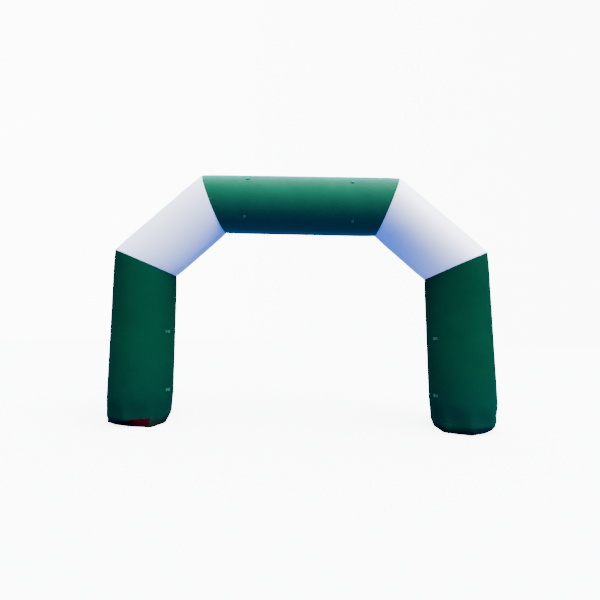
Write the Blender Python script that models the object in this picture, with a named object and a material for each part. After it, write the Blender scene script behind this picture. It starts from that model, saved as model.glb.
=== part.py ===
"""Inflatable angular arch: five air-filled cloth tubes on two flat-bottomed bases.

The arch stands in the XZ plane with its front towards -Y, its feet on z = 0 and
its middle at x = 0. Each straight tube is one filled solid that ends on its
mitre planes. Lines run along each tube from one mitre plane to the next, and
every ring of the tube holds one point of each line. Angles round a tube start
at its outer side, away from the arch's opening, and pass its front at 90.
"""

import math
from dataclasses import dataclass
from typing import NamedTuple

import bpy
from mathutils import Vector

# Overall sizes, metres. Each side of a real arch settles a little differently.
TUBE_RADIUS = 0.477         # every tube has the same round section
FOOT_X = {"left": 2.495, "right": 2.573}                        # centre lines on the floor
KNEE = {"left": (2.570, 2.550), "right": (2.553, 2.540)}        # x and z where leg and shoulder meet
CROWN = {"left": (1.465, 3.585), "right": (1.458, 3.540)}       # x and z where shoulder and beam meet
SIGN = {"left": -1, "right": 1}

# How the cloth is drawn in by its seams
SEAM_DRAW = 0.015           # share of the radius lost at a seam round the tube
SEAM_REACH = 0.300          # how far that reaches along the tube
SEAM_RING = 0.035           # distance of the first ring from a seam
SIDE_DRAW = 0.005           # depth of the crease at the two seams along the tube
SIDE_REACH = 0.070          # its reach round the tube
PUCKER_DEPTH = 0.010        # deepest pucker along those seams
PUCKER_SPREAD = 0.35        # how much the depths vary
PUCKER_TURN = 2.4           # radians by which they vary from ring to ring
PUCKER_REACH = 0.090        # their reach round the tube
PUCKER_STEP = 0.100         # half the pitch: from a crest to a hollow
PUCKER_FADE = 0.160         # length over which they set in beside a mitre

# Points round a tube: even steps, and a close pair beside each side seam
ROUND_STEPS = 32
FACET = 360.0 / ROUND_STEPS
SIDE_SEAM_HALF = 4.0        # degrees

GAP = 0.0003                # between cloth pieces that touch
CREASE = 35.0               # degrees from which an edge is shaded sharp


class Corner(NamedTuple):
    """Corner of an eight-sided hem."""

    facets: float           # facets round from the outer side, towards the front
    floor_share: float      # share of the tube's radius at which it meets the floor


# Base: eight-sided panel whose gathered rim turns in to the floor, unevenly
HEM = {
    "left": (Corner(1, 0.98), Corner(4, 0.72), Corner(8, 0.68), Corner(12, 1.00),
             Corner(15, 0.90), Corner(19, 0.87), Corner(23, 0.87), Corner(28, 0.87)),
    "right": (Corner(1, 0.87), Corner(5, 0.68), Corner(9, 0.84), Corner(13, 1.03),
              Corner(17, 0.90), Corner(21, 0.87), Corner(25, 0.87), Corner(29, 0.87)),
}
HEM_FADE = 0.300            # height above the seam over which the leg becomes round
BASE_TOP = 0.140            # seam between base rim and leg

# Heights up the rim, and how far it has swelled from its floor outline to the seam's
RIM_LEVELS = ((0.000, 0.00), (0.025, 0.48), (0.060, 0.83), (0.100, 0.97), (BASE_TOP, 1.00))


class LoopPlace(NamedTuple):
    """Where a tie loop is sewn."""

    node: str
    tube: str
    distance: float         # along the tube's centre line, from its start
    facets: float           # facets round from the outer side, towards the front


# Webbing tie loops: sewn ends and a raised middle
LOOP_LENGTH = 0.082         # round the tube
LOOP_WIDTH = 0.042          # along the tube
LOOP_THICKNESS = 0.0025
LOOP_SEWN = 0.016           # length of each end that is sewn down flat
LOOP_RISE = 0.026           # height of its middle
LOOP_STEPS = 12
LOOP_LEAN = 0.084           # fall of the ends of a loop that straddles two facets
LOOPS = (
    LoopPlace("loop_leg_left_low", "leg_left", 0.350, 15.0),
    LoopPlace("loop_leg_left_high", "leg_left", 1.260, 14.5),
    LoopPlace("loop_leg_right_low", "leg_right", 0.365, 14.5),
    LoopPlace("loop_leg_right_high", "leg_right", 1.227, 14.0),
    LoopPlace("loop_beam_left_low", "crossbeam", 0.595, 12.0),
    LoopPlace("loop_beam_left_top", "crossbeam", 0.635, 5.0),
    LoopPlace("loop_beam_right_low", "crossbeam", 2.310, 12.5),
    LoopPlace("loop_beam_right_top", "crossbeam", 2.295, 5.5),
)

# Red patch on the rim of the left base. Its lengths run along the hem from one
# corner towards the outer side.
PATCH_CORNER = 3            # which corner of the left hem
PATCH_THICKNESS = 0.003     # measured level, so less across its slopes
PATCH_GAP = 0.0006
PATCH_ROWS = (0.025, 0.060, 0.100, 0.132)   # heights
PATCH_START = 0.012
PATCH_TALL_END = 0.290      # full height up to here, then a low tail
PATCH_TAIL_END = 0.640
PATCH_TAIL_CELLS = 2        # rows of the tail
PATCH_SPACING = 2.0         # least degrees between its own columns and the base's lines

FRONT = Vector((0.0, -1.0, 0.0))
UP = Vector((0.0, 0.0, 1.0))


@dataclass(frozen=True)
class Tube:
    """A straight tube between two seam planes, given by its centre line."""

    start: Vector
    end: Vector
    start_normal: Vector
    end_normal: Vector
    outside: Vector                 # square to the tube, away from the opening
    hem: tuple[Corner, ...] = ()    # where the start is eight-sided

    @property
    def along(self):
        """Direction of the centre line."""
        return (self.end - self.start).normalized()

    def square(self, angle):
        """Direction from the centre line towards one line of the cloth."""
        turn = math.radians(angle)
        return math.cos(turn) * self.outside + math.sin(turn) * FRONT

    def winding(self):
        """1 where angles run anticlockwise about the centre line, else -1."""
        return 1 if self.outside.cross(FRONT).dot(self.along) > 0 else -1


def clear_scene():
    """Remove every object of the scene."""
    for item in list(bpy.data.objects):
        bpy.data.objects.remove(item, do_unlink=True)


def make_material(name, colour, roughness):
    """Principled material of one cloth."""
    material = bpy.data.materials.new(name)
    material.use_nodes = True
    shader = material.node_tree.nodes["Principled BSDF"]
    shader.inputs["Base Color"].default_value = (*colour, 1.0)
    shader.inputs["Roughness"].default_value = roughness
    shader.inputs["Metallic"].default_value = 0.0
    return material


def make_object(name, points, faces, flip, material):
    """One named object; flip turns every face round."""
    if flip:
        faces = [tuple(reversed(face)) for face in faces]
    mesh = bpy.data.meshes.new(name)
    mesh.from_pydata([tuple(point) for point in points], [], faces)
    mesh.materials.append(material)
    mesh.shade_smooth()
    mesh.set_sharp_from_angle(angle=math.radians(CREASE))
    piece = bpy.data.objects.new(name, mesh)
    bpy.context.scene.collection.objects.link(piece)


def round_angles():
    """Degrees of the lines round a tube."""
    beside = (SIDE_SEAM_HALF, 180.0 - SIDE_SEAM_HALF, 180.0 + SIDE_SEAM_HALF, 360.0 - SIDE_SEAM_HALF)
    return sorted([step * FACET for step in range(ROUND_STEPS)] + list(beside))


def side_distance(angle):
    """Distance round the tube to the nearer of its inner and outer side seams."""
    return math.radians(abs((angle + 90.0) % 180.0 - 90.0)) * TUBE_RADIUS


def blend(amount):
    """Smooth step from 0 to 1."""
    amount = min(max(amount, 0.0), 1.0)
    return amount * amount * (3.0 - 2.0 * amount)


def falloff(distance, reach):
    """1 at no distance, easing to 0 at the reach."""
    return max(0.0, 1.0 - distance / reach) ** 2


def hem_share(hem, angle, on_floor=False):
    """Share of the radius at which the side of a hem lies at one angle."""
    turns = [corner.facets * FACET for corner in hem]
    spot = max((number for number, turn in enumerate(turns) if turn <= angle), default=len(hem) - 1)
    after = (spot + 1) % len(hem)
    past = math.radians((angle - turns[spot]) % 360.0)
    ahead = math.radians((turns[after] - angle) % 360.0)
    near = hem[spot].floor_share if on_floor else 1.0
    far = hem[after].floor_share if on_floor else 1.0
    return near * far * math.sin(past + ahead) / (near * math.sin(past) + far * math.sin(ahead))


def skin_radius(tube, angle, from_start, from_end, ring):
    """Radius of the cloth at one line, by its distances from the end seams."""
    near = min(from_start, from_end)
    beside = side_distance(angle)
    radius = TUBE_RADIUS * (1.0 - SEAM_DRAW * falloff(near, SEAM_REACH))
    radius -= SIDE_DRAW * falloff(beside, SIDE_REACH)
    if ring % 2:
        uneven = 1.0 - PUCKER_SPREAD * (1.0 - math.sin(PUCKER_TURN * ring + math.radians(angle)))
        depth = PUCKER_DEPTH * uneven * blend((near - SEAM_RING) / PUCKER_FADE)
        radius -= depth * falloff(beside, PUCKER_REACH)
    if tube.hem:
        squareness = 1.0 - blend(from_start / HEM_FADE)
        radius *= 1.0 + squareness * (hem_share(tube.hem, angle) - 1.0)
    return radius


def seam_point(tube, angle, at_end, inset):
    """Point at which one line of the cloth meets an end seam, inset along the centre line."""
    length = (tube.end - tube.start).length
    normal = tube.end_normal if at_end else tube.start_normal
    radius = skin_radius(tube, angle, length if at_end else 0.0, 0.0 if at_end else length, 0)
    lean = tube.along.dot(normal)
    place = -radius * tube.square(angle).dot(normal) / lean
    place += length - inset / abs(lean) if at_end else inset / abs(lean)
    return tube.start + tube.along * place + tube.square(angle) * radius


def ring_distances(length):
    """Distances of the rings from the start of a line of this length."""
    run = length - 2 * SEAM_RING
    count = round(run / PUCKER_STEP)
    return [0.0, *(SEAM_RING + run * step / count for step in range(count + 1)), length]


def tube_rings(tube):
    """Rings of points, each with one point on each line of the cloth."""
    length = (tube.end - tube.start).length
    rings = []
    for number, distance in enumerate(ring_distances(length)):
        ring = []
        for angle in round_angles():
            first = (seam_point(tube, angle, False, GAP / 2) - tube.start).dot(tube.along)
            last = (seam_point(tube, angle, True, GAP / 2) - tube.start).dot(tube.along)
            from_start = (last - first) * distance / length
            from_end = last - first - from_start
            radius = skin_radius(tube, angle, from_start, from_end, number)
            ring.append(tube.start + tube.along * (first + from_start) + tube.square(angle) * radius)
        rings.append(ring)
    return rings


def split(points, quad, middle, outer):
    """Two triangles of a quad, cut along its outer or its inner diagonal as seen from a middle."""
    first, second, third, fourth = quad
    one = ((points[first] + points[third]) / 2 - middle).length
    other = ((points[second] + points[fourth]) / 2 - middle).length
    if (one > other) == outer:
        return [(first, second, third), (first, third, fourth)]
    return [(first, second, fourth), (second, third, fourth)]


def loft(name, rings, flip, material, middle=None):
    """Closed solid through rings, with flat ends. With a middle, its quads hollow towards that."""
    count = len(rings[0])
    points = [point for ring in rings for point in ring]
    faces = [tuple(reversed(range(count)))]
    for low in range(0, len(points) - count, count):
        for step in range(count):
            after = (step + 1) % count
            quad = (low + step, low + after, low + count + after, low + count + step)
            faces += [quad] if middle is None else split(points, quad, middle, False)
    faces.append(tuple(range(len(points) - count, len(points))))
    make_object(name, points, faces, flip, material)


def build_tube(name, tube, material):
    """One filled tube between its seams."""
    loft(name, tube_rings(tube), tube.winding() < 0, material)


def floor_middle(leg):
    """Where the centre line of a leg meets the floor."""
    return leg.start - leg.along * (BASE_TOP / leg.along.z)


def rim_point(leg, angle, height, offset=0.0):
    """Point of a base's rim, or that far off it."""
    level_way = Vector((leg.square(angle).x, leg.square(angle).y, 0.0)).normalized()
    floor_point = floor_middle(leg) + level_way * (TUBE_RADIUS * hem_share(leg.hem, angle, on_floor=True))
    seam = seam_point(leg, angle, False, 0.0)
    for (low, low_share), (high, high_share) in zip(RIM_LEVELS, RIM_LEVELS[1:]):
        if height <= high:
            share = low_share + (high_share - low_share) * (height - low) / (high - low)
            break
    place = floor_point.lerp(seam, share) + level_way * offset
    return Vector((place.x, place.y, height))


def build_base(name, leg, material):
    """Flat eight-sided bottom, and a rim that swells out to the leg's seam."""
    heights = [height for height, _ in RIM_LEVELS[:-1]] + [BASE_TOP - GAP / 2]
    rings = [[rim_point(leg, angle, height) for angle in round_angles()] for height in heights]
    loft(name, rings, leg.winding() < 0, material, floor_middle(leg))


def loop_under(lean):
    """Under side of a tie loop: places across it and heights over its seat."""
    half = LOOP_LENGTH / 2
    line = [Vector((-half, 0.0))]
    for step in range(LOOP_STEPS + 1):
        share = 2.0 * step / LOOP_STEPS - 1.0
        line.append(Vector((share * (half - LOOP_SEWN), LOOP_RISE * (1.0 - abs(share) ** 3))))
    line.append(Vector((half, 0.0)))
    return [spot - Vector((0.0, lean * abs(spot.x))) for spot in line]


def build_loop(place, tube, material):
    """Webbing tie loop in the middle of a facet, or astride the ridge between two."""
    angle = place.facets * FACET
    out = tube.square(angle)
    round_way = tube.square(angle + 90.0)
    on_ridge = place.facets == int(place.facets)
    seat_radius = TUBE_RADIUS if on_ridge else TUBE_RADIUS * math.cos(math.radians(FACET / 2))
    seat = tube.start + tube.along * place.distance + out * seat_radius
    under = loop_under(LOOP_LEAN if on_ridge else 0.0)
    over = []
    for index, spot in enumerate(under):
        slope = (under[min(index + 1, len(under) - 1)] - under[max(index - 1, 0)]).normalized()
        over.append(spot + Vector((-slope.y, slope.x)) * LOOP_THICKNESS)
    outline = under + over[::-1]
    count = len(outline)
    points = []
    for edge in (-LOOP_WIDTH / 2, LOOP_WIDTH / 2):
        points += [seat + round_way * spot.x + out * (spot.y + GAP) + tube.along * edge for spot in outline]
    faces = [(step, (step + 1) % count, (step + 1) % count + count, step + count) for step in range(count)]
    for step in range(len(under) - 1):
        cell = (step, step + 1, count - 2 - step, count - 1 - step)
        faces.append(tuple(reversed(cell)))
        faces.append(tuple(corner + count for corner in cell))
    make_object(place.node, points, faces, round_way.cross(out).dot(tube.along) < 0, material)


def hem_side(near, far):
    """Length of one side of a hem, where the rim is as wide as the tube."""
    return 2.0 * TUBE_RADIUS * math.sin(math.radians(abs(near.facets - far.facets) * FACET / 2))


def hem_angle(near, far, length):
    """Angle of the point this far along a side of a hem, from one corner to the other."""
    span = math.radians((near.facets - far.facets) * FACET)
    off_middle = math.atan((0.5 - length / hem_side(near, far)) * 2.0 * math.tan(span / 2))
    return (near.facets + far.facets) / 2 * FACET + math.degrees(off_middle)


def patch_columns(hem):
    """Angles of the patch's columns from its start to its tail's end, and the place of its tall end."""
    start, turn, beyond = hem[PATCH_CORNER], hem[PATCH_CORNER - 1], hem[PATCH_CORNER - 2]
    own = (hem_angle(start, turn, PATCH_START), hem_angle(start, turn, PATCH_TALL_END),
           hem_angle(turn, beyond, PATCH_TAIL_END - hem_side(start, turn)))
    under = [angle for angle in round_angles() if own[2] < angle < own[0]
             and all(abs(angle - mine) > PATCH_SPACING for mine in own)]
    columns = sorted((*own, *under), reverse=True)
    return columns, columns.index(own[1])


def build_patch(name, leg, material):
    """Cloth patch on the rim: a tall part and a low tail that turns one hem corner."""
    columns, tall_end = patch_columns(leg.hem)
    rows = len(PATCH_ROWS)
    points = []
    for offset in (PATCH_GAP, PATCH_GAP + PATCH_THICKNESS):
        points += [rim_point(leg, angle, height, offset) for angle in columns for height in PATCH_ROWS]
    skin = len(columns) * rows
    cells = [(column, row) for column in range(len(columns) - 1) for row in range(rows - 1)
             if column < tall_end or row < PATCH_TAIL_CELLS]
    faces = []
    for column, row in cells:
        corner = column * rows + row
        quad = (corner, corner + rows, corner + rows + 1, corner + 1)
        for half in split(points, quad, floor_middle(leg), True):
            faces.append(half)
            faces.append(tuple(spot + skin for spot in reversed(half)))
        beyond = ((column, row - 1), (column + 1, row), (column, row + 1), (column - 1, row))
        for edge, neighbour in enumerate(beyond):
            if neighbour not in cells:
                first, second = quad[edge], quad[(edge + 1) % 4]
                faces.append((second, first, first + skin, second + skin))
    used = sorted({corner for face in faces for corner in face})
    place = {corner: number for number, corner in enumerate(used)}
    faces = [tuple(place[corner] for corner in face) for face in faces]
    make_object(name, [points[corner] for corner in used], faces, False, material)


def outside_of(along, sign):
    """Direction square to a tube, away from the opening, in the arch's plane."""
    return Vector((sign * along.z, 0.0, -sign * along.x))


def half_arch(side, far_side):
    """Leg and shoulder of one side."""
    sign = SIGN[side]
    floor = Vector((sign * FOOT_X[side], 0.0, 0.0))
    knee = Vector((sign * KNEE[side][0], 0.0, KNEE[side][1]))
    crown = Vector((sign * CROWN[side][0], 0.0, CROWN[side][1]))
    far_crown = Vector((-sign * CROWN[far_side][0], 0.0, CROWN[far_side][1]))
    foot = floor.lerp(knee, BASE_TOP / knee.z)
    up_leg = (knee - floor).normalized()
    up_shoulder = (crown - knee).normalized()
    knee_normal = (up_leg + up_shoulder).normalized()
    crown_normal = (up_shoulder + (far_crown - crown).normalized()).normalized()
    leg = Tube(foot, knee, UP, knee_normal, outside_of(up_leg, sign), HEM[side])
    return leg, Tube(knee, crown, knee_normal, crown_normal, outside_of(up_shoulder, sign))


def build_arch():
    """All pieces of the arch."""
    green = make_material("green_cloth", (0.004, 0.100, 0.052), 0.45)
    dark = make_material("dark_green_cloth", (0.003, 0.035, 0.028), 0.55)
    white = make_material("white_cloth", (0.800, 0.800, 0.850), 0.45)
    webbing = make_material("webbing", (0.120, 0.260, 0.230), 0.70)
    red = make_material("red_cloth", (0.160, 0.004, 0.030), 0.60)
    tubes = {}
    for side, far_side in (("left", "right"), ("right", "left")):
        leg, shoulder = half_arch(side, far_side)
        build_base(f"base_{side}", leg, dark)
        build_tube(f"leg_{side}", leg, green)
        build_tube(f"shoulder_{side}", shoulder, white)
        tubes[f"leg_{side}"] = leg
        tubes[f"shoulder_{side}"] = shoulder
    left, right = tubes["shoulder_left"], tubes["shoulder_right"]
    across = (right.end - left.end).normalized()
    tubes["crossbeam"] = Tube(left.end, right.end, left.end_normal, right.end_normal, outside_of(across, -1))
    build_tube("crossbeam", tubes["crossbeam"], green)
    for place in LOOPS:
        build_loop(place, tubes[place.tube], webbing)
    build_patch("red_patch", tubes["leg_left"], red)


clear_scene()
build_arch()
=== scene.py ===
"""Inflatable angular arch, dressed: air-filled cloth tubes, gathered bases, tie loops and seams.

Each filled solid of the frame is replaced by a finer cloth skin on the same centre lines, with
creased side seams, puckers beside every seam and pleated base rims. Angles round a tube start
at its outer side, away from the arch's opening, and pass its front at 90 degrees.
"""

import logging
import math
from dataclasses import dataclass, field, replace
from enum import Enum
from functools import cache
from typing import NamedTuple

import bpy
import numpy as np
from mathutils import Matrix, Vector
from mathutils.bvhtree import BVHTree


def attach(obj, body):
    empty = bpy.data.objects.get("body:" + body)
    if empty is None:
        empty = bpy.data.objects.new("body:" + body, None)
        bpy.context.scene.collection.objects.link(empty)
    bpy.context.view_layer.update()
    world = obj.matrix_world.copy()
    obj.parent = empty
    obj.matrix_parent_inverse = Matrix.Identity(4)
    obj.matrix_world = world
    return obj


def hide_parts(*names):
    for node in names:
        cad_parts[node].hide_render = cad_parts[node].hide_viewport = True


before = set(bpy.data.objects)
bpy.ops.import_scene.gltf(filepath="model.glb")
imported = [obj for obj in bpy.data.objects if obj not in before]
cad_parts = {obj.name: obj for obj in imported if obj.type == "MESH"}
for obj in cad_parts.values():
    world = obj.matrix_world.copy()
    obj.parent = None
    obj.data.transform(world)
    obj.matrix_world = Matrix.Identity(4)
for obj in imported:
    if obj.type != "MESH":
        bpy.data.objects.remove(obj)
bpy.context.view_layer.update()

log = logging.getLogger("arch")

Array = np.ndarray
Numbers = np.ndarray | float
Point = tuple[float, float, float]
Colour = tuple[float, float, float]
Socket = bpy.types.NodeSocket
Object = bpy.types.Object
Material = bpy.types.Material
Outputs = bpy.types.NodeOutputs

BODY = "root"
GAP = 0.0003                        # between pieces that touch
CLEAR = 0.1                         # how far outside a tube the search for its skin starts
FACET = 11.25                       # degrees of the steps that place hem corners and loops
CREASE = math.radians(40.0)         # edges that turn by more than this are sharp
FRONT = np.array((0.0, -1.0, 0.0))
UP = np.array((0.0, 0.0, 1.0))
LEVEL = np.array((1.0, 1.0, 0.0))
OUTER_SHIFT = 7.0                   # shifts along the puckers' pattern, so that no two seams match
END_SHIFT = 11.0
NO_SEAM = 9.0                       # further than the puckers of any seam reach


class Side(Enum):
    """Side of the arch, seen from its front."""

    LEFT = "left"
    RIGHT = "right"

    @property
    def sign(self) -> int:
        """Sign of this side's x."""
        return -1 if self is Side.LEFT else 1

    @property
    def other(self) -> "Side":
        """The side across the opening."""
        return Side.RIGHT if self is Side.LEFT else Side.LEFT


def smooth(amount: Numbers) -> Array:
    """Smooth step of each value, from 0 to 1."""
    held = np.clip(amount, 0.0, 1.0)
    return held * held * (3.0 - 2.0 * held)


def falloff(distance: Numbers, reach: float) -> Array:
    """1 at no distance, easing to 0 at the reach."""
    return np.clip(1.0 - np.asarray(distance) / reach, 0.0, 1.0) ** 2


def unit(vectors: Array) -> Array:
    """Each vector at length 1."""
    return vectors / np.linalg.norm(vectors, axis=-1, keepdims=True)


def even_turns(count: int) -> Array:
    """Evenly spaced angles of one turn, in degrees."""
    return np.arange(count) * 360.0 / count


def off_side(angles: Array) -> Array:
    """Degrees from the nearer side seam to each angle."""
    return (angles + 90.0) % 180.0 - 90.0


def placed(name: str, data: bpy.types.ID) -> Object:
    """Put a new object into the scene.

    Args:
        name: its name.
        data: its mesh, light or camera.

    Returns:
        The object.
    """
    made = bpy.data.objects.new(name, data)
    bpy.context.scene.collection.objects.link(made)
    return made


def carry(piece: Object) -> None:
    """Let a finished piece ride with the arch, and report it.

    Args:
        piece: the finished piece.
    """
    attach(piece, BODY)
    log.info("%s: %d faces", piece.name, len(piece.data.polygons))


def stand_for(piece: Object, node: str) -> None:
    """Let a finished piece stand for a node, with sharp creases, and carry it.

    Args:
        piece: the finished piece.
        node: the node.
    """
    piece.data.set_sharp_from_angle(angle=CREASE)
    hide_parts(node)
    carry(piece)


# ---------------------------------------------------------------- node trees


class Noise(NamedTuple):
    """Random pattern: its scale, detail and roughness, and the part of its range that is used."""

    scale: float
    detail: float
    roughness: float = 0.5
    low: float = 0.0
    high: float = 1.0


DYE_CLOUDS = Noise(2.6, 3.0, 0.55, 0.30, 0.72)
COAT_SHINE = Noise(7.0, 4.0, 0.5, 0.3, 0.7)
# Noise of the edges of the painted shade: towards the floor, and along the red patch's tail.
FLOOR_SHADE_EDGE = Noise(9.0, 5.0)
TAIL_SHADE_EDGE = Noise(30.0, 4.0)
SLACK = Noise(1.0, 3.0, 0.6)
TAPE_SPECKS = Noise(160.0, 3.0)
THREAD_SPECKS = Noise(900.0, 2.0, 0.5, 0.35, 0.65)
BILLOWS = Noise(2.2, 2.0)
FOLDS = Noise(1.0, 1.5, 0.45)


class Wiring:
    """Adds and joins the nodes of one tree."""

    def __init__(self, tree: bpy.types.NodeTree) -> None:
        """Start on a tree, from no nodes."""
        self.tree = tree
        tree.nodes.clear()

    def add(self, kind: str, settings: dict | None = None, **sockets: object) -> bpy.types.Node:
        """Add a node and feed its inputs.

        Args:
            kind: Blender's name of the node's type.
            settings: properties of the node.
            sockets: value or output for each input, by its name with _ for a space, or by i and
                its number.

        Returns:
            The node.
        """
        node = self.tree.nodes.new(kind)
        for key, value in (settings or {}).items():
            setattr(node, key, value)
        for key, value in sockets.items():
            numbered = key[0] == "i" and key[1:].isdigit()
            socket = node.inputs[int(key[1:])] if numbered else node.inputs[key.replace("_", " ")]
            if isinstance(value, Socket):
                self.tree.links.new(value, socket)
            else:
                socket.default_value = value
        return node

    def math(self, operation: str, *values: object) -> Socket:
        """Result of one Math node.

        Args:
            operation: what it does.
            values: its numbers or outputs, in order.

        Returns:
            The node's output.
        """
        numbered = {f"i{number}": value for number, value in enumerate(values)}
        return self.add("ShaderNodeMath", {"operation": operation}, **numbered).outputs[0]

    def wave(self, run: Socket, turns: float) -> Socket:
        """Sine wave along a run, from its radians per metre."""
        return self.math("SINE", self.math("MULTIPLY", run, turns))

    def object_place(self) -> Socket:
        """Place on the object, in metres."""
        return self.add("ShaderNodeTexCoord").outputs["Object"]

    def cloth_place(self) -> Socket:
        """Place on the flat cloth, in metres."""
        return self.add("ShaderNodeUVMap", {"uv_map": "cloth"}).outputs["UV"]

    def part(self, vector: Socket, axis: str) -> Socket:
        """One part of a vector."""
        return self.add("ShaderNodeSeparateXYZ", Vector=vector).outputs[axis]

    def noise(self, place: Socket, pattern: Noise, seed: Socket | None = None) -> Socket:
        """Random pattern over a place.

        Args:
            place: the coordinates.
            pattern: what it is like.
            seed: picks the pattern, or else there is one only.

        Returns:
            The pattern, from 0 to 1.
        """
        seeded = {} if seed is None else {"W": seed}
        return self.add("ShaderNodeTexNoise", {"noise_dimensions": "4D" if seeded else "3D"}, Vector=place,
                        Scale=pattern.scale, Detail=pattern.detail, Roughness=pattern.roughness,
                        **seeded).outputs[0]

    def ease(self, value: Socket, start: float, end: float, first: float = 0.0, last: float = 1.0) -> Socket:
        """Number that eases from one value to another.

        Args:
            value: the output that drives it.
            start: where it starts to change.
            end: where it stops.
            first: its value up to the start.
            last: its value from the end on.

        Returns:
            The number.
        """
        return self.add("ShaderNodeMapRange", {"interpolation_type": "SMOOTHSTEP"}, Value=value,
                        From_Min=start, From_Max=end, To_Min=first, To_Max=last).outputs[0]

    def ramp(self, value: Socket, *stops: tuple[float, Colour]) -> Socket:
        """Colour ramp over a value.

        Args:
            value: the output that drives it.
            stops: place and colour of each of its two stops.

        Returns:
            The ramp's colour output.
        """
        node = self.add("ShaderNodeValToRGB", Fac=value)
        for mark, (place, colour) in zip(node.color_ramp.elements, stops):
            mark.position = place
            mark.color = coloured(colour)
        return node.outputs["Color"]

    def clouds(self, place: Socket, pattern: Noise, low: Colour, high: Colour) -> Socket:
        """Colour that goes from the low to the high colour with a pattern."""
        return self.ramp(self.noise(place, pattern), (pattern.low, low), (pattern.high, high))

    def mix(self, share: Socket, first: object, second: object) -> Socket:
        """Mix of two colours, by the share of the second."""
        return self.add("ShaderNodeMix", {"data_type": "RGBA"}, i0=share, i6=first, i7=second).outputs[2]

    def bump(self, height: Socket) -> Socket:
        """Normals of a relief, from its height in metres."""
        return self.add("ShaderNodeBump", Strength=1.0, Distance=1.0, Height=height).outputs["Normal"]


def coloured(colour: Colour) -> tuple[float, float, float, float]:
    """A colour with full alpha."""
    return (*colour, 1.0)


# ---------------------------------------------------------------- finishes


@dataclass(frozen=True)
class Finish:
    """Look of one kind of surface."""

    name: str
    colour: Colour

    @cache
    def material(self) -> Material:
        """Material of the finish, made at its first use.

        Returns:
            The material.
        """
        made = bpy.data.materials.new(self.name)
        made.use_nodes = True
        wires = Wiring(made.node_tree)
        wires.add("ShaderNodeOutputMaterial", Surface=self.surface(wires))
        return made

    def surface(self, wires: Wiring) -> Socket:
        """Wire the shader, as each kind of finish does in its own way."""
        raise NotImplementedError


@dataclass(frozen=True)
class CoatedCloth(Finish):
    """Plain-woven nylon with a smooth coat, dyed in one colour, with painted shade towards the floor where
    the finish asks for it.
    """

    deep: Colour
    sheen_tint: Colour
    sheen: float = 0.35
    sheen_roughness: float = 0.35
    roughness: float = 0.42
    smoother: float = 0.05              # how far the roughness goes below and above its middle
    rougher: float = 0.07
    gloss: float = 1.55                 # refractive index of the coat
    gloss_tint: Colour = (1.0, 1.0, 1.0)
    # Painted shade: the colour darkens towards the floor over these heights, with a noisy edge.
    shade_height: float = 0.0            # the painted shade's numbers are shares of this height
    shade_full: float = -0.25
    shade_end: float = 0.7
    shade_wander: float = 0.6
    shade_colour: Colour = (0.0, 0.0, 0.0)
    thread_pitch: float = 0.0012
    weave_bump: float = 0.00006
    ripple: float = 0.0007
    ripple_turns: Point = (22.0, 6.0, 1.0)

    def surface(self, wires: Wiring) -> Socket:
        """Wire the shader.

        Args:
            wires: the material's tree.

        Returns:
            The shader.
        """
        place, cloth = wires.object_place(), wires.cloth_place()
        dye = wires.clouds(place, DYE_CLOUDS, self.deep, self.colour)
        rough = wires.add("ShaderNodeMapRange", Value=wires.noise(place, COAT_SHINE),
                          From_Min=COAT_SHINE.low, From_Max=COAT_SHINE.high,
                          To_Min=self.roughness - self.smoother, To_Max=self.roughness + self.rougher)
        stretched = wires.add("ShaderNodeMapping", Vector=cloth, Scale=self.ripple_turns).outputs[0]
        ripples = wires.math("MULTIPLY", wires.noise(stretched, SLACK), self.ripple)
        relief = wires.math("ADD", self._weave(wires, cloth), ripples)
        return wires.add("ShaderNodeBsdfPrincipled", Base_Color=self._shaded(wires, place, dye),
                         Roughness=rough.outputs[0], Normal=wires.bump(relief), Sheen_Weight=self.sheen,
                         Sheen_Roughness=self.sheen_roughness, Sheen_Tint=coloured(self.sheen_tint),
                         Specular_Tint=coloured(self.gloss_tint), IOR=self.gloss).outputs[0]

    def _shaded(self, wires: Wiring, place: Socket, unshaded: Socket) -> Socket:
        """Paint shade into the colour towards the floor, where the finish asks for it.

        Args:
            wires: the material's tree.
            place: object coordinates.
            unshaded: the cloth's colour.

        Returns:
            The colour with its painted shade.
        """
        if not self.shade_height:
            return unshaded
        shares = (self.shade_full, self.shade_end, self.shade_wander)
        full, end, wander = (share * self.shade_height for share in shares)
        raised = wires.math("MULTIPLY_ADD", wires.noise(place, FLOOR_SHADE_EDGE), -wander, wires.part(place, "Z"))
        return wires.mix(wires.ease(raised, full, end, 1.0, 0.0), unshaded, coloured(self.shade_colour))

    def _weave(self, wires: Wiring, cloth: Socket) -> Socket:
        """Height of the plain weave, in metres.

        Args:
            wires: the material's tree.
            cloth: place on the cloth, in metres.

        Returns:
            The height.
        """
        turns = 2.0 * math.pi / self.thread_pitch
        waves = [wires.wave(wires.part(cloth, axis), turns) for axis in "XY"]
        return wires.math("MULTIPLY", wires.math("MULTIPLY", *waves), self.weave_bump)


@dataclass(frozen=True)
class TailShadedCloth(CoatedCloth):
    """Cloth with painted shade that darkens it away from one place along it."""

    # Painted shade: full colour up to the first share away from the middle, full shade from the second.
    middle: float = 0.165
    unshaded_to: float = 0.03
    shaded_from: float = 0.17
    wander: float = 0.06

    def _shaded(self, wires: Wiring, place: Socket, unshaded: Socket) -> Socket:
        """Paint shade into the colour along the cloth, away from its middle.

        Args:
            wires: the material's tree.
            place: object coordinates.
            unshaded: the cloth's colour.

        Returns:
            The colour with its painted shade.
        """
        run = wires.part(wires.cloth_place(), "X")
        away = wires.math("ABSOLUTE", wires.math("SUBTRACT", run, self.middle))
        raised = wires.math("MULTIPLY_ADD", wires.noise(place, TAIL_SHADE_EDGE), self.wander, away)
        return wires.mix(wires.ease(raised, self.unshaded_to, self.shaded_from), unshaded, coloured(self.shade_colour))


TEAL_GLOSS = (0.10, 1.0, 0.78)


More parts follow.
